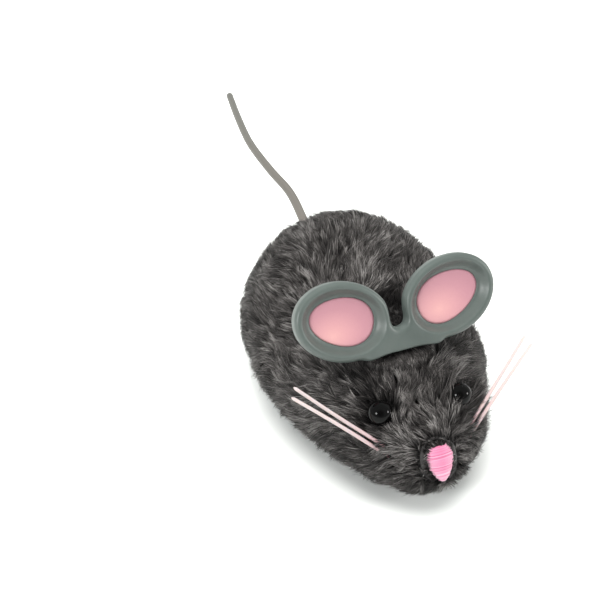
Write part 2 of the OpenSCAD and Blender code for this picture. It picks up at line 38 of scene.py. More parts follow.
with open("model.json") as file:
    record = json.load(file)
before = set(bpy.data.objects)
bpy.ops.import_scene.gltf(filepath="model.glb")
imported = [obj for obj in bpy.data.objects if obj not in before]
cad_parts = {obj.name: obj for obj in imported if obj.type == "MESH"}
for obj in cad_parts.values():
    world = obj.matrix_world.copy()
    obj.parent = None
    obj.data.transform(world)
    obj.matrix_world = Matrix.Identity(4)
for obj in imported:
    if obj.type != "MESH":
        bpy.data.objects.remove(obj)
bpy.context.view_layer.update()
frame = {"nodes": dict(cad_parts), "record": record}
NODES = frame["nodes"]
scene = bpy.context.scene

# Places and sizes that the CAD model shares, in millimetres
KEY = np.array([0.0, -29.0, 40.4])
KEY_TURN = math.radians(3)
EAR_LEAN = math.radians(28)
EAR_SPLAY = math.radians(17)
EAR_REACH = 14.1
EAR_A = 12.5
EAR_B = 9.8
EAR_HALF = 2.5
BRIDGE_Z = 32.2
STEM_R = 4.0
STEM_FOOT_Z = 20.2
SKIRT_R = 5.6
SKIRT_Z = 23.1
SKIRT_HALF = 0.4
SOCKET_Z = 22.8
SOCKET_HALF = (1.35, 1.35, 3.6)
PINK_A = 8.35
PINK_B = 5.85
EYE_PLACE = (10.3, -46.8, 24.2)
EYE_AIM = (0.46, -0.4, 0.79)
EYE_R = 3.1
NOSE_PLACE = np.array([0.0, -60.4, 16.9])
NOSE_SIZE = np.array([3.3, 1.5, 4.4])
NOSE_TILT = math.radians(28)
WHISKER_ROOTS = ((11, -51.9, 18.2), (10.3, -53.3, 15.8))
WHISKER_SPANS = ((18, 14.3, 12), (19.9, 13.9, 13))
LEFT_WHISKER_SPREAD = 2.6
WHISKER_R = 0.46
TAIL_ROUTE = (
    (0, 22, 20),
    (0, 27, 20),
    (0.3, 33, 20.4),
    (1.1, 41, 21.5),
    (1.2, 52, 23),
    (-0.5, 64, 23.5),
    (-1.2, 80, 23),
    (0.3, 96, 22),
    (2.5, 112, 21),
)
TAIL_ROOT_R = 1.45
TAIL_TIP_R = 1.0


# ---------------- camera, floor and light

CAMERA_PLACE = (-0.1410, -0.3588, 0.3126)
CAMERA_TARGET = (-0.02116, -0.0200, 0.04178)
CAMERA_LENS = 111.2
CAMERA_SENSOR = 36

# The room is evenly bright but for a dim end, ahead of the mouse and above it, which the eyes mirror
ROOM_LIGHT = (0.97, 1.0, 0.985)
ROOM_DIM = (0.22, 0.226, 0.223)
ROOM_STRENGTH = 0.87
DIM_END = (-0.266, -0.753, 0.602)
DIM_FROM = 0.76
DIM_FULL = 0.96

# Name, place, size across, watts and colour. All are aimed at one spot
LIT_SPOT = (0, -0.01, 0.02)
OVERHEAD = ("overhead", (-0.05, 0.08, 1.1), 1.3, 22.0, (1, 0.99, 0.97))
LEFT_WINDOW = ("left_window", (-0.9, -0.5, 0.56), 0.3, 7.0, (1, 1, 1))
RIGHT_WINDOW = ("right_window", (0.9, -0.5, 0.35), 0.24, 4.0, (1, 0.98, 0.96))
FLOOR_HALF = 4
FLOOR_Z = -1e-4


def place_and_aim(obj, place, target):
    obj.location = place
    aim = Vector(target) - Vector(place)
    obj.rotation_euler = aim.to_track_quat("-Z", "Y").to_euler()


def make_camera():
    data = bpy.data.cameras.new("camera")
    data.sensor_width = CAMERA_SENSOR
    data.lens = CAMERA_LENS
    data.clip_start = 0.01
    data.clip_end = 20
    cam = bpy.data.objects.new("camera", data)
    scene.collection.objects.link(cam)
    place_and_aim(cam, CAMERA_PLACE, CAMERA_TARGET)
    scene.camera = cam


def area_light(name, place, size, watts, colour):
    data = bpy.data.lights.new(name, "AREA")
    data.shape = "DISK"
    data.size = size
    data.energy = watts
    data.color = colour
    light = bpy.data.objects.new(name, data)
    scene.collection.objects.link(light)
    place_and_aim(light, place, LIT_SPOT)
    return light


def floor_paper():
    dark, light = (0.88, 0.90, 0.885), (0.91, 0.925, 0.91)
    return cloudy("floor_paper", dark, light, size_mm=40, rough=0.7, depth_mm=0.02)


def make_world():
    world = bpy.data.worlds.new("studio")
    scene.world = world
    world.use_nodes = True
    tree = world.node_tree
    sky = tree.nodes["Background"]
    ray = put(tree, "ShaderNodeTexCoord")
    toward_dim_end = put(tree, "ShaderNodeVectorMath", operation="DOT_PRODUCT")
    toward_dim_end.inputs[1].default_value = DIM_END
    tree.links.new(ray.outputs["Generated"], toward_dim_end.inputs[0])
    stops = ((DIM_FROM, ROOM_LIGHT), (DIM_FULL, ROOM_DIM))
    room = ramp(tree, toward_dim_end.outputs["Value"], stops)
    tree.links.new(room, sky.inputs["Color"])
    sky.inputs["Strength"].default_value = ROOM_STRENGTH


def make_floor():
    mesh = bpy.data.meshes.new("floor")
    corners = ((-1, -1), (1, -1), (1, 1), (-1, 1))
    verts = [(x * FLOOR_HALF, y * FLOOR_HALF, FLOOR_Z) for x, y in corners]
    mesh.from_pydata(verts, [], [(0, 1, 2, 3)])
    floor = bpy.data.objects.new("floor", mesh)
    scene.collection.objects.link(floor)
    mesh.materials.append(floor_paper())


def make_studio():
    scene.view_settings.view_transform = "Standard"
    make_world()
    # The wide overhead sheet lights the fur but isn't mirrored in the eyes
    area_light(*OVERHEAD).visible_glossy = False
    area_light(*LEFT_WINDOW)
    area_light(*RIGHT_WINDOW)
    make_floor()


# ---------------- materials

# Where most of a noise texture's values lie
NOISE_LOW = 0.3
NOISE_HIGH = 0.7
ROUGH_SWING = 0.12
ALONG_SWING = 0.12

# The fibres' own shades, and how each fibre is painted from dark at its root, as painted shade deep
# in the pile, to light at its tip, as painted light
FIBRE_SHADES = (
    (0.0, (0.009, 0.008, 0.008)),
    (0.35, (0.034, 0.031, 0.030)),
    (0.7, (0.136, 0.127, 0.123)),
    (1.0, (0.350, 0.333, 0.323)),
)
FIBRE_PAINTED_SHADE_AND_LIGHT = (
    (0.0, (0.06, 0.058, 0.058)),
    (0.4, (0.46, 0.46, 0.46)),
    (0.8, (1.0, 1.0, 1.0)),
    (1.0, (1.25, 1.25, 1.25)),
)
FIBRE_FINISH = {"Roughness": 0.55, "Specular_IOR_Level": 0.22}


def put(tree, kind, **values):
    """Adds a node, setting its properties and its unlinked sockets by name."""
    node = tree.nodes.new(kind)
    for key, value in values.items():
        if key in node.inputs:
            node.inputs[key].default_value = value
        else:
            setattr(node, key, value)
    return node


def blank(name, settings):
    """A new material with its node tree and its shader, set by socket names."""
    material = bpy.data.materials.new(name)
    material.use_nodes = True
    tree = material.node_tree
    shader = tree.nodes["Principled BSDF"]
    for key, value in settings.items():
        shader.inputs[key.replace("_", " ")].default_value = value
    return material, tree, shader


def ramp(tree, source, stops):
    """Colour ramp fed by a socket, with (place, colour) stops."""
    node = tree.nodes.new("ShaderNodeValToRGB")
    points = node.color_ramp.elements
    while len(points) < len(stops):
        points.new(0.5)
    for point, (place, colour) in zip(points, stops, strict=True):
        point.position = place
        point.color = (*colour, 1.0)
    tree.links.new(source, node.inputs["Fac"])
    return node.outputs["Color"]


def noise(tree, size_mm, detail=3.0, rough=0.55):
    place = put(tree, "ShaderNodeTexCoord")
    scale = 1 / (size_mm * MM)
    cloud = put(tree, "ShaderNodeTexNoise", Scale=scale, Detail=detail, Roughness=rough)
    tree.links.new(place.outputs["Object"], cloud.inputs["Vector"])
    return cloud.outputs["Fac"]


def uneven_gloss(tree, shader, source, rough):
    """Roughness that a noise swings a little either way."""
    node = put(tree, "ShaderNodeMapRange")
    node.inputs["From Min"].default_value = NOISE_LOW
    node.inputs["From Max"].default_value = NOISE_HIGH
    node.inputs["To Min"].default_value = rough * (1 - ROUGH_SWING)
    node.inputs["To Max"].default_value = min(1.0, rough * (1 + ROUGH_SWING))
    tree.links.new(source, node.inputs["Value"])
    tree.links.new(node.outputs["Result"], shader.inputs["Roughness"])


def bumped(tree, shader, source, depth_mm):
    node = put(tree, "ShaderNodeBump", Strength=1.0, Distance=depth_mm * MM)
    tree.links.new(source, node.inputs["Height"])
    tree.links.new(node.outputs["Normal"], shader.inputs["Normal"])


def cloudy(name, dark, light, size_mm, rough, depth_mm, grain_mm=None, **settings):
    """Material with a soft colour cloud, a fine surface grain and uneven gloss."""
    material, tree, shader = blank(name, settings)
    stops = ((NOISE_LOW, dark), (NOISE_HIGH, light))
    colour = ramp(tree, noise(tree, size_mm), stops)
    tree.links.new(colour, shader.inputs["Base Color"])
    fine = noise(tree, grain_mm or size_mm / 6, 4.0, 0.6)
    uneven_gloss(tree, shader, fine, rough)
    bumped(tree, shader, fine, depth_mm)
    return material


def along_ramp(name, stops, rough, depth_mm, grain_mm, **settings):
    """Material whose colour runs along a piece, from its root at 0 to its tip at 1."""
    material, tree, shader = blank(name, settings)
    along = put(tree, "ShaderNodeAttribute", attribute_name="along")
    fine = noise(tree, grain_mm, 4.0, 0.6)
    mixed = put(tree, "ShaderNodeMath", operation="MULTIPLY_ADD")
    mixed.inputs[1].default_value = ALONG_SWING
    tree.links.new(fine, mixed.inputs[0])
    tree.links.new(along.outputs["Fac"], mixed.inputs[2])
    colour = ramp(tree, mixed.outputs["Value"], stops)
    tree.links.new(colour, shader.inputs["Base Color"])
    uneven_gloss(tree, shader, fine, rough)
    bumped(tree, shader, fine, depth_mm)
    return material


def fibre_material():
    """Fur fibre. In its UV map, U is the fibre's own shade less any painted shade, and V runs from
    its root, painted dark as shade, to its tip, painted light.
    """
    material, tree, shader = blank("fur_fibre", FIBRE_FINISH)
    uv = put(tree, "ShaderNodeUVMap", uv_map=UV_NAME)
    axes = put(tree, "ShaderNodeSeparateXYZ")
    tree.links.new(uv.outputs["UV"], axes.inputs["Vector"])
    shade = ramp(tree, axes.outputs["X"], FIBRE_SHADES)
    # Painted shade towards the root and painted light at the tip
    fade = ramp(tree, axes.outputs["Y"], FIBRE_PAINTED_SHADE_AND_LIGHT)
    mix = put(tree, "ShaderNodeMix", data_type="RGBA", blend_type="MULTIPLY")
    mix.inputs["Factor"].default_value = 1.0
    tree.links.new(shade, mix.inputs["A"])
    tree.links.new(fade, mix.inputs["B"])
    tree.links.new(mix.outputs["Result"], shader.inputs["Base Color"])
    return material


# ---------------- meshes


def piece(name, verts, faces, body, replaced, material):
    """A smooth mesh from millimetre points, riding on a body and standing for CAD nodes."""
    mesh = bpy.data.meshes.new(name)
    mesh.from_pydata(np.asarray(verts, float) * MM, [], faces)
    mesh.validate()
    mesh.polygons.foreach_set("use_smooth", [True] * len(mesh.polygons))
    mesh.materials.append(material)
    obj = bpy.data.objects.new(name, mesh)
    scene.collection.objects.link(obj)
    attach(obj, body)
    if replaced:
        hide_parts(*replaced)
    return obj


def triangle_mesh(name, verts, tris, uv, body, material):
    """A large triangle mesh, written from arrays. uv is per vertex."""
    mesh = bpy.data.meshes.new(name)
    mesh.vertices.add(len(verts))
    mesh.vertices.foreach_set("co", (verts * MM).astype(np.float32).ravel())
    mesh.loops.add(tris.size)
    mesh.loops.foreach_set("vertex_index", tris.astype(np.int32).ravel())
    mesh.polygons.add(len(tris))
    starts = np.arange(0, tris.size, 3, dtype=np.int32)
    mesh.polygons.foreach_set("loop_start", starts)
    mesh.polygons.foreach_set("use_smooth", np.ones(len(tris), bool))
    layer = mesh.uv_layers.new(name=UV_NAME)
    layer.data.foreach_set("uv", uv[tris.ravel()].astype(np.float32).ravel())
    mesh.update(calc_edges=True)
    mesh.validate()
    mesh.materials.append(material)
    obj = bpy.data.objects.new(name, mesh)
    scene.collection.objects.link(obj)
    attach(obj, body)


def set_along(obj, values):
    """Gives each point of a piece its place on the piece's colour ramp."""
    layer = obj.data.attributes.new("along", "FLOAT", "POINT")
    layer.data.foreach_set("value", np.asarray(values, np.float32))


def ring_quads(first, rings, sides):
    """Quads between rings of points that follow each other from a first point on."""
    return [
        (
            first + k * sides + j,
            first + k * sides + (j + 1) % sides,
            first + (k + 1) * sides + (j + 1) % sides,
            first + (k + 1) * sides + j,
        )
        for k in range(rings - 1)
        for j in range(sides)
    ]


def tube(points, radii, sides):
    """Closed tube along points, rounded only as the radii say.

    Returns its points, its faces and each point's place along it, from 0 to 1.
    """
    points = np.asarray(points, float)
    ahead = np.gradient(points, axis=0)
    ahead /= np.linalg.norm(ahead, axis=1)[:, None]
    side = np.cross(ahead[0], (0, 0, 1.0))
    if np.linalg.norm(side) < 1e-3:
        side = np.cross(ahead[0], (1.0, 0, 0))
    verts, along = [], []
    length = np.concatenate(
        [[0], np.cumsum(np.linalg.norm(np.diff(points, axis=0), axis=1))]
    )
    for k, (p, t, r) in enumerate(zip(points, ahead, radii, strict=True)):
        side = side - t * (side @ t)
        side /= np.linalg.norm(side)
        up = np.cross(t, side)
        for j in range(sides):
            a = 2 * math.pi * j / sides
            verts.append(p + r * (math.cos(a) * side + math.sin(a) * up))
            along.append(length[k] / length[-1])
    rings = len(points)
    faces = ring_quads(0, rings, sides)
    faces.append(tuple(range(sides - 1, -1, -1)))
    faces.append(tuple((rings - 1) * sides + j for j in range(sides)))
    return verts, faces, along


def closed_rings(rings, sides):
    """Faces of a closed form: point 0, the rings of points that follow it, and a flat back."""
    faces = [(0, 1 + (j + 1) % sides, 1 + j) for j in range(sides)]
    faces += ring_quads(1, rings, sides)
    back = 1 + (rings - 1) * sides
    faces.append(tuple(back + j for j in range(sides)))
    return faces


def flipped(faces):
    return [face[::-1] for face in faces]


def lathe(profile, centre, axis, sides):
    """Closed solid turned from (radius, height) pairs about an axis through a centre.

    The first and the last radius are 0.
    """
    axis = np.array(axis, float) / np.linalg.norm(axis)
    u = np.cross(axis, (0, 1.0, 0))
    u /= np.linalg.norm(u)
    v = np.cross(axis, u)
    centre = np.array(centre, float)
    verts = [centre + axis * profile[0][1]]
    for r, h in profile[1:-1]:
        for j in range(sides):
            a = 2 * math.pi * j / sides
            verts.append(centre + axis * h + r * (math.cos(a) * u + math.sin(a) * v))
    verts.append(centre + axis * profile[-1][1])
    last = len(verts) - 1
    rings = len(profile) - 2
    faces = [(0, 1 + (j + 1) % sides, 1 + j) for j in range(sides)]
    faces += ring_quads(1, rings, sides)
    base = 1 + (rings - 1) * sides
    faces += [(last, base + j, base + (j + 1) % sides) for j in range(sides)]
    return verts, faces


def waves(points, size_mm, seed, count=7):
    """Smooth random field from a few seeded waves, roughly from -1 to 1."""
    rng = np.random.default_rng(seed)
    turns = rng.normal(size=(count, 3)) / size_mm * 2.2
    phases = rng.uniform(0, 2 * math.pi, count)
    return np.sin(points @ turns.T + phases).sum(1) / math.sqrt(count) * 0.9


def unit(v):
    """Each row scaled to length 1."""
    return v / np.maximum(np.linalg.norm(v, axis=1), 1e-9)[:, None]


def step(x, low, high):
    """Smooth rise from 0 at low to 1 at high."""
    t = np.clip((x - low) / (high - low), 0, 1)
    return t * t * (3 - 2 * t)


# ---------------- ears

NOTCH_HALF = 2.15
CREST_IN = 1.35
FRONT_ROUND = 1.45
BACK_ROUND = 2.3
BOWL_POWER = 1.35
BOWL_SLOPE = 0.8
PINK_FRONT = -0.3
PINK_BACK = 0.55
PINK_DISH = 0.25
PINK_TAPER = 0.15
PINK_POWER = 2.1
POCKET_ROOM = 0.05

# The bridge between the ears, in the ear plane's thickness and up
BRIDGE_AT = (-0.1, -8.8)
BRIDGE_HALF = (9.6, 2.2, 4.2)
BRIDGE_ROUND = 1.4

# A point of the stem's sloping top and the direction that the top faces, in y and z
STEM_TOP_AT = (-1.9, 32.6)
STEM_TOP_FACES = (0.67, 0.74)
SOCKET_ROUND = 0.05

# How widely the parts of the moulding run into each other
NOTCH_BLEND = 1.0
BRIDGE_FOOT_BLEND = 0.8
BRIDGE_BLEND = 3.0
STEM_BLEND = 0.8
SKIRT_BLEND = 0.3
HOLLOW_BLEND = 0.35

EARS_LOW = (-28.4, -38.4, 19.9)
EARS_HIGH = (28.4, -19.4, 52.6)
EARS_PITCH = 0.32
DRAW_PASSES = 4
SLOPE_STEP = 0.02
LEAST_SLOPE = 0.15

PAD_RINGS = 14
PAD_SIDES = 96
PAD_LIP = 0.12
PAD_LIP_FROM = 0.93

# The spot of each pink face that is painted palest, as painted light, and how far it takes to fade
# into painted shade, across and up
PAINTED_LIGHT_AT = (-2.8, -3.0)
PAINTED_LIGHT_SPAN = (12, 9)


def smooth_min(a, b, k):
    h = np.clip(0.5 + 0.5 * (b - a) / k, 0, 1)
    return b + (a - b) * h - k * h * (1 - h)


def smooth_max(a, b, k):
    return -smooth_min(-a, -b, k)


def egg_distance(out, up, a, b, taper, power):
    """Rough signed distance to an egg, narrower at its outer end."""
    width = b * (1 - taper * np.clip(out / a, -1.3, 1.3))
    x, z = np.abs(out) / a, np.abs(up) / width
    k = (x**power + z**power + 1e-12) ** (1 / power)
    slope = np.sqrt((x ** (power - 1) / a) ** 2 + (z ** (power - 1) / width) ** 2)
    slope = slope / np.maximum(k, 1e-6) ** (power - 1)
    return (k - 1) / np.maximum(slope, 0.02)


def box_distance(x, y, z, half, r):
    """Signed distance to a box with rounded edges."""
    q = np.stack([np.abs(p) - h + r for p, h in zip((x, y, z), half, strict=True)])
    return np.linalg.norm(np.maximum(q, 0), axis=0) + np.minimum(q.max(0), 0) - r


def ear_plane(p):
    """Ear-plane coordinates: across, thickness (front is negative) and up."""
    q = p - KEY
    c, s = math.cos(KEY_TURN), math.sin(KEY_TURN)
    x, y, z = q[..., 0] * c + q[..., 1] * s, q[..., 1] * c - q[..., 0] * s, q[..., 2]
    c, s = math.cos(EAR_LEAN), math.sin(EAR_LEAN)
    return x, y * c - z * s, y * s + z * c


def ear_point(u, v, w):
    """The opposite of ear_plane, for one point."""
    c, s = math.cos(EAR_LEAN), math.sin(EAR_LEAN)
    x, y, z = u, v * c + w * s, w * c - v * s
    c, s = math.cos(KEY_TURN), math.sin(KEY_TURN)
    return KEY[0] + x * c - y * s, KEY[1] + x * s + y * c, KEY[2] + z


def lobe_axes(u, w, side):
    """A lobe's own axes: outwards along it and up across it."""
    c, s = math.cos(EAR_SPLAY), math.sin(EAR_SPLAY)
    x = side * u - EAR_REACH
    return x * c + w * s, -x * s + w * c


def ear_lobe(u, v, w, side):
    """Rough distances to one ear's solid lobe and to the hollow in its front."""
    out, up = lobe_axes(u, w, side)
    rim = egg_distance(out, up, EAR_A, EAR_B, 0.0, 2.0)
    r = np.where(v < 0, FRONT_ROUND, BACK_ROUND)
    flat = np.abs(v) - (EAR_HALF - r)
    edge = rim + r
    lobe = np.sqrt(np.maximum(edge, 0) ** 2 + np.maximum(flat, 0) ** 2)
    lobe = lobe + np.minimum(np.maximum(edge, flat), 0) - r
    lobe = smooth_max(lobe, NOTCH_HALF - side * u, NOTCH_BLEND)
    pink = egg_distance(out, up, PINK_A, PINK_B, PINK_TAPER, PINK_POWER)
    inward = -rim - CREST_IN
    share = np.clip(inward / np.maximum(inward + pink, 0.4), 0, 1)
    dip = np.sin(share * math.pi / 2) ** BOWL_POWER
    bowl = (v + EAR_HALF - (EAR_HALF + PINK_FRONT) * dip) * BOWL_SLOPE
    pocket = np.maximum(pink - POCKET_ROOM, v - PINK_BACK - POCKET_ROOM)
    return lobe, np.minimum(bowl, pocket)


def stem_distance(x, y, z):
    """The round stem between its foot and its sloping top."""
    top = STEM_TOP_FACES[1] * (z - STEM_TOP_AT[1]) + STEM_TOP_FACES[0] * (y - STEM_TOP_AT[0])
    return np.maximum(np.hypot(x, y) - STEM_R, np.maximum(top, STEM_FOOT_Z - z))


def socket_distance(x, y, z):
    """The square hole in the foot of the stem, turned with the ears."""
    c, s = math.cos(KEY_TURN), math.sin(KEY_TURN)
    return box_distance(x * c + y * s, y * c - x * s, z - SOCKET_Z, SOCKET_HALF, SOCKET_ROUND)


def ear_field(p):
    """Negative inside the ear moulding."""
    u, v, w = ear_plane(p)
    x, y, z = p[..., 0] - KEY[0], p[..., 1] - KEY[1], p[..., 2]
    left, left_hollow = ear_lobe(u, v, w, 1)
    right, right_hollow = ear_lobe(u, v, w, -1)
    bridge = box_distance(u, v - BRIDGE_AT[0], w - BRIDGE_AT[1], BRIDGE_HALF, BRIDGE_ROUND)
    bridge = smooth_max(bridge, BRIDGE_Z - z, BRIDGE_FOOT_BLEND)
    whole = smooth_min(np.minimum(left, right), bridge, BRIDGE_BLEND)
    whole = smooth_min(whole, stem_distance(x, y, z), STEM_BLEND)
    skirt = np.maximum(np.hypot(x, y) - SKIRT_R, np.abs(z - SKIRT_Z) - SKIRT_HALF)
    whole = smooth_min(whole, skirt, SKIRT_BLEND)
    whole = smooth_max(whole, -np.minimum(left_hollow, right_hollow), HOLLOW_BLEND)
    return np.maximum(whole, -socket_distance(x, y, z))


def net_points(value, low, pitch):
    """A point in each grid cell that the zero surface crosses, and the numbers of those cells."""
    shape = np.array(value.shape) - 1
    corners = [(i, j, k) for i in (0, 1) for j in (0, 1) for k in (0, 1)]

    def cell(array, c):
        spans = [slice(c[i], c[i] + shape[i]) for i in range(3)]
        return array[tuple(spans)]

    count = sum(cell(value < 0, c).astype(int) for c in corners)
    mixed = (count > 0) & (count < 8)
    total = np.zeros((*shape, 3))
    crossings = np.zeros(shape)
    for a in corners:
        for axis in range(3):
            if a[axis]:
                continue
            b = tuple(1 if i == axis else a[i] for i in range(3))
            va, vb = cell(value, a), cell(value, b)
            cross = (va < 0) != (vb < 0)
            t = np.where(cross, va / np.where(cross, va - vb, 1), 0)
            spot = np.array(a, float) + t[..., None] * (np.array(b) - np.array(a))
            total += np.where(cross[..., None], spot, 0)
            crossings += cross
    number = -np.ones(shape, int)
    number[mixed] = np.arange(mixed.sum())
    spots = np.argwhere(mixed) + total[mixed] / crossings[mixed][:, None]
    return np.array(low) + pitch * spots, number


def net_quads(inside, number):
    """Quads that join the numbered cells round each grid edge that the surface crosses."""
    shape = number.shape
    quads = []
    for axis in range(3):
        b, c = (axis + 1) % 3, (axis + 2) % 3
        here = tuple(slice(0 if i == axis else 1, shape[i]) for i in range(3))
        ahead = tuple(slice(1, shape[i] + (i == axis)) for i in range(3))
        first, second = inside[here], inside[ahead]
        for into in (True, False):
            spots = np.argwhere((first != second) & (first == into))
            spots += [0 if i == axis else 1 for i in range(3)]
            ring = []
            for db, dc in ((0, 0), (1, 0), (1, 1), (0, 1)):
                q = spots.copy()
                q[:, b] -= db
                q[:, c] -= dc
                ring.append(number[q[:, 0], q[:, 1], q[:, 2]])
            ring = np.stack(ring, 1)
            quads.append(ring if into else ring[:, ::-1])
    return np.concatenate(quads)


def drawn_onto(field, points, pitch):
    """The points, moved along the field's slope onto its zero surface."""
    h = SLOPE_STEP
    for _ in range(DRAW_PASSES):
        f = field(points)
        slope = [(field(points + h * e) - field(points - h * e)) / (2 * h) for e in np.eye(3)]
        slope = np.stack(slope, 1)
        size = np.maximum((slope**2).sum(1), LEAST_SLOPE)
        move = -(f / size)[:, None] * slope
        points = points + np.clip(move, -pitch * 0.5, pitch * 0.5)
    return points


def surface_net(field, low, high, pitch):
    """Points and quads of the field's zero surface."""
    axes = [np.arange(a, b + pitch, pitch) for a, b in zip(low, high, strict=True)]
    value = field(np.stack(np.meshgrid(*axes, indexing="ij"), -1))
    points, number = net_points(value, low, pitch)
    return drawn_onto(field, points, pitch), net_quads(value < 0, number)


def ear_plastic():
    return cloudy(
        "ear_plastic", (0.058, 0.072, 0.066), (0.071, 0.087, 0.080), size_mm=9, rough=0.40,
        depth_mm=0.008, grain_mm=0.5, Specular_IOR_Level=0.5,
    )


def pink_material():
    """Pink satin, painted palest at one spot low on each face and darker away from it, as painted
    light and shade.
    """
    stops = (
        (0.0, (0.545, 0.292, 0.284)),
        (0.3, (0.480, 0.240, 0.252)),
        (0.75, (0.385, 0.182, 0.215)),
        (1.0, (0.360, 0.168, 0.204)),
    )
    return along_ramp("ear_pink_satin", stops, rough=0.5, depth_mm=0.006, grain_mm=0.6)


def pad_plan():
    """An inner ear's points in its lobe's own axes, with their depths: dished front, then back."""
    plan = [(0.0, 0.0)]
    depth = [PINK_FRONT + PINK_DISH]
    n = 2 / PINK_POWER
    for k in range(1, PAD_RINGS + 1):
        t = k / PAD_RINGS
        lip = PAD_LIP * max(0.0, (t - PAD_LIP_FROM) / (1 - PAD_LIP_FROM)) ** 2
        for j in range(PAD_SIDES):
            a = 2 * math.pi * j / PAD_SIDES
            cx, cz = math.cos(a), math.sin(a)
            out = PINK_A * t * math.copysign(abs(cx) ** n, cx)
            up = PINK_B * (1 - PINK_TAPER * out / PINK_A)
            up *= t * math.copysign(abs(cz) ** n, cz)
            plan.append((out, up))
            depth.append(PINK_FRONT + PINK_DISH * (1 - t * t) + lip)
    plan += plan[-PAD_SIDES:]
    depth += [PINK_BACK] * PAD_SIDES
    return plan, depth


def make_inner_ear(side, name, pink):
    c, s = math.cos(EAR_SPLAY), math.sin(EAR_SPLAY)
    verts, painted_light_fades = [], []
    for (out, up), v in zip(*pad_plan(), strict=True):
        x, w = out * c - up * s, out * s + up * c
        verts.append(ear_point(side * (x + EAR_REACH), v, w))
        # Distance from the spot of painted light, which the pink's ramp turns into painted light and
        # shade
        across = (side * x - PAINTED_LIGHT_AT[0]) / PAINTED_LIGHT_SPAN[0]
        painted_light_fades.append(min(1.0, math.hypot(across, (w - PAINTED_LIGHT_AT[1]) / PAINTED_LIGHT_SPAN[1])))
    faces = closed_rings(PAD_RINGS + 1, PAD_SIDES)
    if side > 0:
        faces = flipped(faces)
    body, replaced = "ear_key_body", [f"inner_ear_{name}"]
    pad = piece(f"inner_ear_pad_{name}", verts, faces, body, replaced, pink)
    set_along(pad, painted_light_fades)


def make_ears():
    points, quads = surface_net(ear_field, EARS_LOW, EARS_HIGH, EARS_PITCH)
    body, replaced = "ear_key_body", ["ear_key"]
    piece("ear_moulding", points, quads.tolist(), body, replaced, ear_plastic())
    pink = pink_material()
    for side, name in SIDES:
        make_inner_ear(side, name, pink)


# ---------------- eyes

# (radius, height) pairs of the stalk and of the moulding seam round the bead
EYE_STALK = ((0, -5.4), (0.8, -5.4), (1.0, -5.2), (1.0, -3.0), (1.25, -2.82))
EYE_SEAM = ((3.1, -0.1), (3.12, 0.0), (3.1, 0.1))
EYE_BACK_ANGLE = -66
EYE_SIDES = 64


def eye_gloss():
    return cloudy(
        "eye_gloss", (0.0008, 0.0008, 0.0008), (0.0016, 0.0015, 0.0015), size_mm=3, rough=0.06,
        depth_mm=0.0002, Specular_IOR_Level=0.12,
    )


def ball_arc(start, end, steps):
    """(radius, height) pairs on the bead, between two angles in degrees and without them."""
    angles = [math.radians(start + (end - start) * k / steps) for k in range(1, steps)]
    return [(EYE_R * math.cos(a), EYE_R * math.sin(a)) for a in angles]


def eye_place(side):
    return np.array(EYE_PLACE) * (side, 1, 1)


def make_eyes():
    gloss = eye_gloss()
    profile = [*EYE_STALK, *ball_arc(EYE_BACK_ANGLE, 0, 24), *EYE_SEAM]
    profile += [*ball_arc(0, 90, 30), (0, EYE_R)]
    for side, name in SIDES:
        aim = np.array(EYE_AIM) * (side, 1, 1)
        verts, faces = lathe(profile, eye_place(side), aim, EYE_SIDES)
        body, replaced = "mouse_body", [f"eye_{name}"]
        piece(f"eye_bead_{name}", verts, faces, body, replaced, gloss)


# ---------------- nose

# Heights are from -1 at the bottom of the nose to 1 at its top
NOSE_ROWS = 34
NOSE_TOP_ROW = 0.90
NOSE_ROWS_SPAN = 1.87
NOSE_WIDTH = 0.91
NOSE_EGG = 0.34
STITCH_KNOTS = 15
STITCH_SIDES = 8
STITCH_R = 0.165
STITCH_SLOPE = 0.25
RAGGED_LEFT = (-0.1, 0.3)
RAGGED_RIGHT = (-0.1, 0.45)
TUCK_FROM = 0.86
TUCK = 0.75
FELT_RINGS = 12
FELT_SIDES = 40
FELT_SHARE = 0.94
FELT_BULGE = 0.82
FELT_BACK_SHARE = 0.8
FELT_BACK_Y = 0.9


def nose_point(x, y, z):
    """From the nose pad's own axes to the part's."""
    c, s = math.cos(NOSE_TILT), math.sin(NOSE_TILT)
    return NOSE_PLACE + np.array((x, y * c + z * s, z * c - y * s))


def nose_half(t):
    """Half width of the nose at height t: an egg, widest above its middle."""
    return NOSE_WIDTH * NOSE_SIZE[0] * max(0.12, (1 - t * t) ** 0.5 * (1 + NOSE_EGG * t))


def stitch_path(t, rng):
    """Knots and radii of the satin stitch at height t, with its own ends and slope."""
    half = nose_half(t)
    left = -half - rng.uniform(*RAGGED_LEFT)
    right = half + rng.uniform(*RAGGED_RIGHT)
    slope = STITCH_SLOPE + rng.uniform(-0.1, 0.1)
    swell = -NOSE_SIZE[1] * math.sqrt(max(0.02, 1 - 0.9 * t * t))
    points, radii = [], []
    for i in range(STITCH_KNOTS):
        f = i / (STITCH_KNOTS - 1)
        x = left + (right - left) * f
        y = swell * (1 - 0.85 * (x / (half + 0.35)) ** 2) - 0.12
        tuck = max(0.0, abs(2 * f - 1) - TUCK_FROM) / (1 - TUCK_FROM)
        y += TUCK * tuck**1.5
        points.append(nose_point(x, y, NOSE_SIZE[2] * t + slope * (f - 0.5)))
        radii.append(STITCH_R * (1 - 0.35 * abs(2 * f - 1) ** 3))
    return points, radii


def nose_thread():
    stops = (
        (0.0, (0.44, 0.090, 0.200)),
        (0.45, (0.56, 0.190, 0.310)),
        (1.0, (0.66, 0.400, 0.500)),
    )
    return along_ramp(
        "nose_thread", stops, rough=0.42, depth_mm=0.03, grain_mm=0.12, Sheen_Weight=0.35
    )


def nose_felt():
    dark, light = (0.36, 0.08, 0.16), (0.46, 0.13, 0.22)
    return cloudy("nose_felt", dark, light, size_mm=1.0, rough=0.8, depth_mm=0.05)


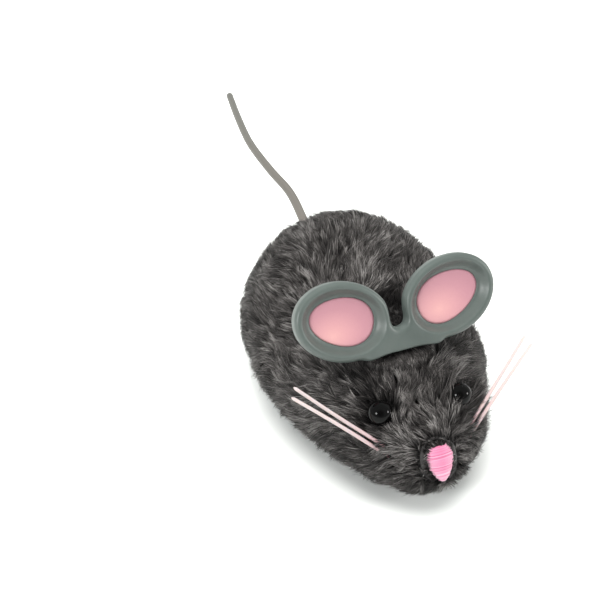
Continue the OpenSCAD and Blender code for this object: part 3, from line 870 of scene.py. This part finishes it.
def make_stitches():
    rng = np.random.default_rng(SEED + 1)
    verts, faces, shades = [], [], []
    for k in range(NOSE_ROWS):
        t = NOSE_TOP_ROW - NOSE_ROWS_SPAN * k / (NOSE_ROWS - 1)
        points, radii = stitch_path(t, rng)
        row, quads, _ = tube(points, radii, STITCH_SIDES)
        # Each row's shade varies at random, and the rows are painted darker toward the top, as
        # painted shade, and paler toward the bottom and the sides, as painted highlight
        shade = 0.36 + rng.normal() * 0.22 - 0.30 * t
        faces += [tuple(len(verts) + i for i in q) for q in quads]
        verts += row
        shades += [shade + 0.30 * abs(p[0] - NOSE_PLACE[0]) / NOSE_SIZE[0] for p in row]
    body, replaced = "mouse_body", ["nose_embroidery"]
    stitches = piece("nose_stitches", verts, faces, body, replaced, nose_thread())
    set_along(stitches, np.clip(shades, 0, 1))


def make_felt():
    """The pad that the stitches lie on."""
    a, b, h = NOSE_SIZE
    angles = [2 * math.pi * j / FELT_SIDES for j in range(FELT_SIDES)]
    verts = [nose_point(0, -b * FELT_BULGE, 0)]
    for k in range(1, FELT_RINGS + 1):
        r = k / FELT_RINGS
        y = -b * FELT_BULGE * math.sqrt(max(0, 1 - (r * 0.99) ** 2))
        for q in angles:
            full = nose_half(math.sin(q)) / max(abs(math.cos(q)), 0.05)
            x = min(full, a) * FELT_SHARE * r * math.cos(q)
            verts.append(nose_point(x, y, h * FELT_SHARE * r * math.sin(q)))
    wide, high = a * FELT_BACK_SHARE, h * FELT_BACK_SHARE
    verts += [nose_point(wide * math.cos(q), FELT_BACK_Y, high * math.sin(q)) for q in angles]
    faces = flipped(closed_rings(FELT_RINGS + 1, FELT_SIDES))
    piece("nose_felt", verts, faces, "mouse_body", [], nose_felt())


def make_nose():
    make_stitches()
    make_felt()


# ---------------- whiskers

WHISKER_RINGS = 44
WHISKER_SIDES = 14
WHISKER_TAPER = 0.12
WHISKER_BOW = 0.28
WHISKER_TIP_FROM = 0.985


def whisker_bristle():
    stops = (
        (0.0, (0.05, 0.03, 0.035)),
        (0.08, (0.42, 0.21, 0.225)),
        (0.2, (0.47, 0.31, 0.31)),
        (0.6, (0.45, 0.355, 0.35)),
        (1.0, (0.46, 0.372, 0.367)),
    )
    return along_ramp(
        "whisker_bristle", stops, rough=0.4, depth_mm=0.01, grain_mm=0.3, Subsurface_Weight=0.15
    )


def whisker_path(side, k):
    """Points and radii of whisker k, 0 for the upper and 1 for the lower, bowed up or down."""
    root = np.array(WHISKER_ROOTS[k], float) * (side, 1, 1)
    span = np.array(WHISKER_SPANS[k], float) * (side, 1, 1)
    if side > 0:
        span[0] += LEFT_WHISKER_SPREAD
    sag = np.cross(np.cross(span, (0, 0, 1.0)), span)
    sag /= np.linalg.norm(sag)
    points, radii = [], []
    for i in range(WHISKER_RINGS + 1):
        t = i / WHISKER_RINGS
        bow = WHISKER_BOW * math.sin(math.pi * t) * (1 if k else -1)
        points.append(root + span * t + sag * bow)
        tip = max(0.0, (t - WHISKER_TIP_FROM) / (1 - WHISKER_TIP_FROM))
        radii.append(WHISKER_R * (1 - WHISKER_TAPER * t) * math.sqrt(max(0.05, 1 - tip**2)))
    return points, radii


def make_whiskers():
    bristle = whisker_bristle()
    for side, name in SIDES:
        for k, level in enumerate(("upper", "lower")):
            verts, faces, along = tube(*whisker_path(side, k), WHISKER_SIDES)
            title = f"whisker_bristle_{name}_{level}"
            replaced = [f"whisker_{name}_{level}"]
            obj = piece(title, verts, faces, "mouse_body", replaced, bristle)
            set_along(obj, along)


# ---------------- tail

# (radius, distance behind the root) pairs of the round foot that holds the tail in the cover
TAIL_FOOT = ((0.6, 0.0), (2.75, 0.05), (2.8, 0.3), (2.8, 1.0), (2.7, 1.2))
TAIL_NECK_AT = 1.26
TAIL_NECK_MORE = 0.25
TAIL_STEPS = 16
TAIL_FROM_STEP = 5
TAIL_SIDES = 28
TAIL_TIP_ANGLES = (0, 20, 40, 60, 75, 86)


def tail_rubber():
    stops = (
        (0.0, (0.130, 0.102, 0.090)),
        (0.3, (0.114, 0.104, 0.093)),
        (1.0, (0.100, 0.098, 0.088)),
    )
    return along_ramp(
        "tail_rubber", stops, rough=0.5, depth_mm=0.03, grain_mm=0.5, Specular_IOR_Level=0.4
    )


def spline(points, steps):
    """Catmull-Rom curve through points."""
    p = [np.array(q, float) for q in points]
    p = [2 * p[0] - p[1], *p, 2 * p[-1] - p[-2]]
    curve = []
    for k in range(1, len(p) - 2):
        a, b, c, d = p[k - 1 : k + 3]
        for i in range(steps):
            t = i / steps
            bend = (2 * a - 5 * b + 4 * c - d) * t**2 + (3 * b - a - 3 * c + d) * t**3
            curve.append(0.5 * (2 * b + (c - a) * t + bend))
    curve.append(p[-2])
    return curve


def tail_path():
    """Points and radii of the tail, from its foot to its round tip."""
    route = spline(TAIL_ROUTE, TAIL_STEPS)
    foot = [*TAIL_FOOT, (TAIL_ROOT_R + TAIL_NECK_MORE, TAIL_NECK_AT)]
    points = [route[0] + np.array((0, back, 0)) for _, back in foot]
    radii = [r for r, _ in foot]
    last = len(route) - 1
    for k in range(TAIL_FROM_STEP, last):
        points.append(route[k])
        radii.append(TAIL_ROOT_R + (TAIL_TIP_R - TAIL_ROOT_R) * k / last)
    end = unit(np.array([route[-1] - route[-2]]))[0]
    for a in TAIL_TIP_ANGLES:
        a = math.radians(a)
        points.append(route[-1] + end * TAIL_TIP_R * (math.sin(a) - 1))
        radii.append(TAIL_TIP_R * math.cos(a))
    return points, radii


def make_tail():
    verts, faces, along = tube(*tail_path(), TAIL_SIDES)
    body, replaced = "mouse_body", ["tail"]
    tail = piece("tail_moulding", verts, faces, body, replaced, tail_rubber())
    set_along(tail, along)


# ---------------- fur

FIBRES = 120000
COLLAR_FIBRES = 6200
FIBRES_PER_CLUMP = 15
MOST_FIBRES_IN_A_PIECE = 12400
PILE_ROOT = 1.5
PILE_RISE = 2.45
PILE_REACH = 4.6
FIBRE_R = (0.056, 0.088)
WILD_SHARE = 0.06
WILD_LIFT = 1.2

# How much clumps and single fibres vary. Turns are in radians and the rest are shares
CLUMP_TURN = 0.26
FIBRE_TURN = 0.10
CLUMP_SIZE = 0.11
FIBRE_RISE = 0.08
FIBRE_REACH = 0.14
TONE = 0.48
CLUMP_TONE = 0.15
FIBRE_TONE = 0.20

# The bend of a fibre, as shares of its rise and reach, its pull to its clump and its stray tip
KNEE_AT = (0.85, 0.30)
CLUMP_PULL = (0.1, 0.55)
KNEE_PULL = 0.35
TIP_STRAY = 0.14

# Each fibre has a ring of three points at each of these places along it, and a tip
FIBRE_LEVELS = (0.0, 0.36, 0.72)
FIBRE_WIDTHS = (0.85, 1.0, 0.72)
FIBRE_POINTS = 3 * len(FIBRE_LEVELS) + 1

# The body's middle line, which the pile faces away from
CORE_Y = (-52, 18)
CORE_Z = 14

# Where the cover carries no pile: the well round the stem, the hem, and close to the eyes
WELL_R = 10.45
HEM_Z = 3.02
EYE_BARE = 0.25

# The pile against each eye: its height, and how strongly it is combed away, or over it if negative
EYE_PILE = ((1, 1.7), (-1, 0.72))
EYE_COMB = ((1, -0.6), (-1, 1.0))

# The pile on the well's wall, painted a little darker than the body's pile, as painted shade under
# the bridge
COLLAR_R = 10.7
COLLAR_Z = (24.6, 27.6)
COLLAR_TO_R = 9.8
COLLAR_TIP_Z = 27.5
COLLAR_RISE = (3.6, 2.6)
COLLAR_SHADED_TONE = 0.40
COLLAR_ANGLE = math.radians(104)
COLLAR_FULL_ANGLE = math.radians(60)

# Room that the fibres leave round the eyes, over the floor, round the stem and under the ears
EYE_ROOM = 0.12
FLOOR_ROOM = 0.35
STEM_ROOM = 4.45
STEM_ROOM_FROM_Z = 19
ROOF_REACH = (5.0, 7.0, 8.5, 12.0, 16.0, 18.0, 20.0, 22.0, 24.0, 25.5, 26.5, 27.2)
ROOF_Z = (31.6, 31.0, 30.6, 30.5, 31.0, 31.5, 32.4, 33.5, 35.0, 37.0, 39.2, 99.0)


def welded_cover():
    """The CAD cover's points, each once and in millimetres, and its triangles."""
    mesh = NODES["fur_cover"].data
    co = np.empty(len(mesh.vertices) * 3)
    mesh.vertices.foreach_get("co", co)
    co = co.reshape(-1, 3) / MM
    mesh.calc_loop_triangles()
    tri = np.empty(len(mesh.loop_triangles) * 3, np.int32)
    mesh.loop_triangles.foreach_get("vertices", tri)
    microns = np.round(co * 1000).astype(np.int64)
    _, first, back = np.unique(microns, axis=0, return_index=True, return_inverse=True)
    tris = back.reshape(-1)[tri].reshape(-1, 3)
    a, b, c = tris.T
    return co[first], tris[(a != b) & (b != c) & (c != a)]


def cover_surface():
    """The cover's points and triangles, which triangles carry pile, and normals of their points."""
    points, tris = welded_cover()
    a, b, c = (points[tris[:, i]] for i in range(3))
    cross = np.cross(b - a, c - a)
    middle = (a + b + c) / 3
    core = np.zeros_like(middle)
    core[:, 1] = np.clip(middle[:, 1], *CORE_Y)
    core[:, 2] = CORE_Z
    outward = ((middle - core) * cross).sum(1) > 0
    outward &= np.hypot(middle[:, 0], middle[:, 1] - KEY[1]) > WELL_R
    outward &= middle[:, 2] > HEM_Z
    for side, _ in SIDES:
        outward &= np.linalg.norm(middle - eye_place(side), axis=1) > EYE_R + EYE_BARE
    normals = np.zeros_like(points)
    for i in range(3):
        np.add.at(normals, tris[outward][:, i], cross[outward])
    return points, tris, outward, normals


def backing_cloth():
    return cloudy(
        "fur_backing", (0.012, 0.011, 0.011), (0.030, 0.028, 0.027), size_mm=1.5, rough=0.9,
        depth_mm=0.2, grain_mm=0.4, Sheen_Weight=0.1,
    )


def make_backing(points, tris, normals):
    """The padded backing that the pile stands on: the cover with its outside drawn in."""
    outer = np.linalg.norm(normals, axis=1) > 1e-9
    verts = points - np.where(outer[:, None], unit(normals) * PILE_ROOT, 0)
    body, replaced = "mouse_body", ["fur_cover"]
    backing = piece("fur_backing", verts, tris.tolist(), body, replaced, backing_cloth())


def nose_edge(p):
    """1 at the edge of the nose patch, falling to 0 a few millimetres outside it."""
    beside = np.linalg.norm((p - NOSE_PLACE) * (1, 1, 0.75), axis=1) - 3.3
    return np.exp(-((np.maximum(beside, 0) / 1.6) ** 2))


def parting_and_shade(p):
    """1 in the hollow behind the ears, where the pile is parted to its roots and painted dark as
    painted shade, and 0 away from it.
    """
    away = p - KEY
    far = np.hypot(away[:, 0], away[:, 1])
    behind = step(away[:, 1] / far, 0.60, 0.84)
    return behind * (1 - step(far, 14.5, 19.5))


def comb_direction(p, n, drift):
    """Which way the pile lies at each point, along the surface."""
    # Towards the tail, down the sides and over the rump, with slow waves from side to side
    lay = np.ones_like(p)
    lay[:, 2] = -(0.12 + 0.55 * np.abs(n[:, 0]) + 0.75 * step(p[:, 1], 4, 24))
    lay[:, 0] = 0.35 * waves(p, 15, SEED + 11)
    for side, strength in EYE_COMB:
        away = p - eye_place(side)
        far = np.linalg.norm(away, axis=1)
        ahead = np.where(away[:, 1] < 0, 1.0, 0.9)
        lay += unit(away) * (strength * ahead * np.exp(-((far / 4.8) ** 2)))[:, None]
    # Away from the nose, but inwards over the edge of its patch
    away = p - NOSE_PLACE
    far = np.linalg.norm(away, axis=1)
    outward = 1.2 * np.exp(-((far / 6.5) ** 2)) - 6.0 * nose_edge(p)
    lay += unit(away) * outward[:, None]
    # Laid flat on the surface, then turned in locks
    lay = unit(lay - n * (lay * n).sum(1)[:, None])
    turn = 0.50 * waves(p, 8, SEED + 12) + 0.32 * waves(p, 3.4, SEED + 13) + drift
    across = np.cross(n, lay)
    return lay * np.cos(turn)[:, None] + across * np.sin(turn)[:, None]


def pile_size(p):
    """How high and how far each fibre reaches, as a share of the full pile."""
    near_nose = np.linalg.norm(p - NOSE_PLACE, axis=1)
    share = 0.60 + 0.40 * step(near_nose, 3.5, 16)
    for side, least in EYE_PILE:
        far = np.linalg.norm(p - eye_place(side), axis=1)
        share *= least + (1 - least) * step(far, 3.4, 7.5)
    return share * (1 - 0.84 * parting_and_shade(p))


def painted_shade_of_place(p):
    """How much darker the pile is painted, as painted shade, in the hollow behind the ears and round
    the eyes and nose.
    """
    dark = 0.95 * parting_and_shade(p)
    for side, _ in SIDES:
        far = np.linalg.norm(p - eye_place(side), axis=1)
        dark += 0.34 * np.exp(-((np.maximum(far - EYE_R, 0) / 1.8) ** 2))
    far = np.linalg.norm((p - NOSE_PLACE) * (1, 1, 0.7), axis=1)
    return dark + 0.22 * np.exp(-((np.maximum(far - 3.2, 0) / 1.5) ** 2))


def clear_of_parts(q):
    """Fibre points moved out of the eyes, the floor and the room that the turning ears need."""
    least = EYE_R + EYE_ROOM
    for side, _ in reversed(SIDES):
        away = q - eye_place(side)
        far = np.linalg.norm(away, axis=1)
        q = np.where((far < least)[:, None], eye_place(side) + unit(away) * least, q)
    away = q[:, :2] - KEY[:2]
    far = np.linalg.norm(away, axis=1)
    near = (far < STEM_ROOM) & (q[:, 2] > STEM_ROOM_FROM_Z)
    q[near, :2] = KEY[:2] + unit(away[near]) * STEM_ROOM
    far = np.maximum(far, STEM_ROOM)
    q[:, 2] = np.minimum(q[:, 2], np.interp(far, ROOF_REACH, ROOF_Z))
    q[:, 2] = np.maximum(q[:, 2], FLOOR_ROOM)
    return q


def bent_fibres(root, knee, tip, thick, n, rng):
    """Points of tapering three-sided fibres on quadratic arcs, for each fibre on its own."""
    count = len(root)
    twist = rng.uniform(0, 2 * math.pi, count)
    verts = np.empty((count, FIBRE_POINTS, 3))
    for k, level in enumerate(FIBRE_LEVELS):
        f = 1 - level
        middle = root * f * f + knee * 2 * f * level + tip * level * level
        ahead = unit((knee - root) * 2 * f + (tip - knee) * 2 * level)
        side = unit(np.cross(ahead, n + 0.01))
        up = np.cross(side, ahead)
        for j in range(3):
            q = twist + 2 * math.pi * j / 3
            out = side * np.cos(q)[:, None] + up * np.sin(q)[:, None]
            verts[:, 3 * k + j] = middle + (thick * FIBRE_WIDTHS[k])[:, None] * out
    verts[:, -1] = tip
    return verts


def fibre_triangles():
    """The triangles of one fibre, facing outwards. Its rings run clockwise, seen from its tip."""
    rings = len(FIBRE_LEVELS)
    one = [(0, 2, 1)]
    for a, b, c, d in ring_quads(0, rings, 3):
        one += [(a, b, c), (a, c, d)]
    top = 3 * (rings - 1)
    one += [(top + j, top + (j + 1) % 3, FIBRE_POINTS - 1) for j in range(3)]
    return np.array(one)[:, ::-1]


def fibre_uv(tone):
    """The fibres' shades across U, each a little uneven, and their lengths along V."""
    uv = np.empty((len(tone), FIBRE_POINTS, 2))
    for k, level in enumerate(FIBRE_LEVELS):
        for j in range(3):
            uv[:, 3 * k + j, 0] = tone + 0.006 * (j - 1)
            uv[:, 3 * k + j, 1] = 0.02 + 0.96 * level
    uv[:, -1, 0] = tone
    uv[:, -1, 1] = 0.98
    return uv


def scatter(points, tris, normals, rng):
    """Random places all over the triangles, with the normals there."""
    a, b, c = (points[tris[:, i]] for i in range(3))
    area = np.linalg.norm(np.cross(b - a, c - a), axis=1)
    pick = rng.choice(len(tris), FIBRES, p=area / area.sum())
    s, t = rng.random((2, FIBRES))
    flip = s + t > 1
    s[flip], t[flip] = 1 - s[flip], 1 - t[flip]
    a, b, c = a[pick], b[pick], c[pick]
    skin = a + (b - a) * s[:, None] + (c - a) * t[:, None]
    na, nb, nc = (unit(normals[tris[pick, i]]) for i in range(3))
    return skin, unit(na * (1 - s - t)[:, None] + nb * s[:, None] + nc * t[:, None])


def on_nose(p):
    """Which points lie on the nose patch."""
    away = p - NOSE_PLACE
    c, s = math.cos(NOSE_TILT), math.sin(NOSE_TILT)
    level = (away[:, 1] * s + away[:, 2] * c) / NOSE_SIZE[2]
    depth = away[:, 1] * c - away[:, 2] * s
    half = np.array([nose_half(t) for t in np.clip(level, -1, 1)])
    return (np.abs(away[:, 0]) < half) & (np.abs(level) < 1) & (np.abs(depth) < 4)


def nearest_clump(skin, clumps):
    """The number of the clump that each fibre leans to. The first fibres lead one each."""
    tree = KDTree(clumps)
    for i in range(clumps):
        tree.insert(skin[i], i)
    tree.balance()
    return np.array([tree.find(p)[1] for p in skin])


def body_fibres(skin, n, rng):
    """Points and shades of the fibres rooted at these places."""
    count = len(skin)
    clumps = count // FIBRES_PER_CLUMP
    mine = nearest_clump(skin, clumps)
    drift = rng.normal(0, CLUMP_TURN, clumps)[mine] + rng.normal(0, FIBRE_TURN, count)
    share = pile_size(skin)
    size = share * (1 + rng.normal(0, CLUMP_SIZE, clumps))[mine]
    lay = comb_direction(skin, n, drift)
    wild = rng.random(count) < WILD_SHARE
    lift = np.where(wild, WILD_LIFT, 1.0) * (1 + rng.normal(0, FIBRE_RISE, count))
    rise = PILE_RISE * size * lift
    reach = PILE_REACH * size * (1 + rng.normal(0, FIBRE_REACH, count))
    reach *= 1 - 0.5 * nose_edge(skin)
    root = skin - n * PILE_ROOT
    tip = root + n * rise[:, None] + lay * reach[:, None]
    knee = root + n * (KNEE_AT[0] * rise)[:, None] + lay * (KNEE_AT[1] * reach)[:, None]
    pull = np.where(wild, 0.0, rng.uniform(*CLUMP_PULL, count))[:, None]
    tip += (tip[mine] - tip) * pull
    knee += (knee[mine] - knee) * pull * KNEE_PULL
    tip += rng.normal(0, TIP_STRAY, (count, 3))
    tip, knee = clear_of_parts(tip), clear_of_parts(knee)
    thick = rng.uniform(*FIBRE_R, count) * (0.75 + 0.25 * share)
    verts = bent_fibres(root, knee, tip, thick, n, rng)
    tone = TONE + rng.normal(0, CLUMP_TONE, clumps)[mine] + rng.normal(0, FIBRE_TONE, count)
    tone += 0.09 * waves(skin, 8, SEED + 14) + 0.12 * waves(skin, 1.7, SEED + 16)
    # The fibres are painted darker, as painted shade, behind the ears and round the eyes and nose
    return verts, tone - painted_shade_of_place(skin)


def level_rays(angle):
    """Level directions, turned by each angle from straight ahead."""
    return np.stack([np.sin(angle), -np.cos(angle), np.zeros(len(angle))], 1)


def collar_fibres(rng):
    """Points, shades and tips of the pile on the front of the well's wall, leaning to the stem."""
    count = COLLAR_FIBRES
    angle = rng.uniform(-COLLAR_ANGLE, COLLAR_ANGLE, count)
    root = KEY + level_rays(angle) * COLLAR_R
    root[:, 2] = rng.uniform(*COLLAR_Z, count)
    inner = rng.uniform(STEM_ROOM, COLLAR_TO_R, count)
    turned = angle + rng.normal(0, 0.10, count)
    fade = step(np.abs(angle), COLLAR_ANGLE, COLLAR_FULL_ANGLE)
    tip = KEY + level_rays(turned) * inner[:, None]
    tip[:, 2] = COLLAR_TIP_Z + fade * np.interp(inner, (4.4, 10), COLLAR_RISE)
    tip[:, 2] += rng.normal(0, 0.25, count)
    knee = (root + tip) / 2
    knee[:, 2] = np.maximum(root[:, 2], tip[:, 2]) - 0.2
    tip, knee = clear_of_parts(tip), clear_of_parts(knee)
    up = np.tile((0.0, 0.0, 1.0), (count, 1))
    thick = rng.uniform(*FIBRE_R, count)
    verts = bent_fibres(root, knee, tip, thick, up, rng)
    tuft = waves(np.stack([angle * 10, angle * 0, tip[:, 2]], 1), 1.6, SEED + 15)
    # The collar's lower tone is painted shade under the bridge
    return verts, COLLAR_SHADED_TONE + 0.20 * tuft + rng.normal(0, 0.18, count), tip


def make_pile(points, tris, outward, normals):
    """All the fibres, in pieces that follow each other from the nose to the tail."""
    rng = np.random.default_rng(SEED)
    skin, n = scatter(points, tris[outward], normals, rng)
    bare = on_nose(skin)
    skin, n = skin[~bare], n[~bare]
    verts, tone = body_fibres(skin, n, rng)
    more, more_tone, more_tips = collar_fibres(rng)
    verts = np.concatenate([verts, more])
    uv = fibre_uv(np.clip(np.concatenate([tone, more_tone]), 0.02, 0.98))
    order = np.argsort(np.concatenate([skin, more_tips])[:, 1], kind="stable")
    one = fibre_triangles()
    fibre = fibre_material()
    groups = np.array_split(order, math.ceil(len(verts) / MOST_FIBRES_IN_A_PIECE))
    for i, group in enumerate(groups):
        name = f"fur_pile_{i + 1}"
        starts = np.arange(len(group)) * FIBRE_POINTS
        corners = (one[None] + starts[:, None, None]).reshape(-1, 3)
        places, shades = verts[group].reshape(-1, 3), uv[group].reshape(-1, 2)
        triangle_mesh(name, places, corners, shades, "mouse_body", fibre)


# ---------------- CAD nodes that stay

MOULDED = {"Specular_IOR_Level": 0.45}
METAL = {"Metallic": 1.0}
NYLON = {"Subsurface_Weight": 0.2}
WADDING = {"Sheen_Weight": 0.3}
PLAIN = {}

# Dark and light colour, size of the clouds, roughness, depth and size of the grain, other settings
CAD_LOOKS = {
    "shell_black": ((0.008, 0.008, 0.008), (0.014, 0.013, 0.013), 6, 0.6, 0.05, 0.5, MOULDED),
    "chassis_black": ((0.010, 0.010, 0.011), (0.018, 0.018, 0.019), 5, 0.48, 0.06, 0.4, MOULDED),
    "screw_steel": ((0.42, 0.42, 0.43), (0.60, 0.60, 0.60), 2, 0.32, 0.01, 0.2, METAL),
    "plate_steel": ((0.50, 0.50, 0.51), (0.64, 0.64, 0.63), 4, 0.36, 0.01, 0.3, METAL),
    "pin_steel": ((0.48, 0.48, 0.50), (0.66, 0.66, 0.66), 1.5, 0.25, 0.004, 0.2, METAL),
    "spring_steel": ((0.20, 0.22, 0.27), (0.34, 0.35, 0.38), 2, 0.30, 0.006, 0.2, METAL),
    "gear_brass": ((0.58, 0.40, 0.14), (0.74, 0.54, 0.24), 2.5, 0.30, 0.008, 0.25, METAL),
    "gear_nylon": ((0.72, 0.71, 0.66), (0.80, 0.79, 0.74), 3, 0.45, 0.01, 0.3, NYLON),
    "wheel_plastic": ((0.034, 0.034, 0.035), (0.048, 0.048, 0.049), 4, 0.42, 0.02, 0.4, MOULDED),
    "tyre_rubber": ((0.012, 0.012, 0.012), (0.028, 0.027, 0.026), 1.5, 0.82, 0.06, 0.25, PLAIN),
    "washer_white": ((0.74, 0.74, 0.71), (0.82, 0.82, 0.80), 2, 0.5, 0.02, 0.3, PLAIN),
    "stuffing": ((0.72, 0.71, 0.68), (0.88, 0.87, 0.84), 1.2, 0.95, 0.4, 0.3, WADDING),
}


def cad_material(slot):
    *look, settings = CAD_LOOKS[slot]
    return cloudy(slot, *look, **settings)


def finish_cad_nodes():
    """Gives each CAD node that no piece replaces the material of its slot."""
    looks = {slot: cad_material(slot) for slot in CAD_LOOKS}
    slots = {s["node"]: s["material_slot"] for s in frame["record"]["subparts"]}
    for name, node in NODES.items():
        if node.hide_render:
            continue
        node.data.materials.clear()
        node.data.materials.append(looks[slots[name]])


def write_sizes():
    """Updates the view layer."""
    bpy.context.view_layer.update()


make_camera()
make_studio()
make_ears()
make_eyes()
make_nose()
make_whiskers()
make_tail()
cover = cover_surface()
make_backing(cover[0], cover[1], cover[3])
make_pile(*cover)
finish_cad_nodes()
write_sizes()
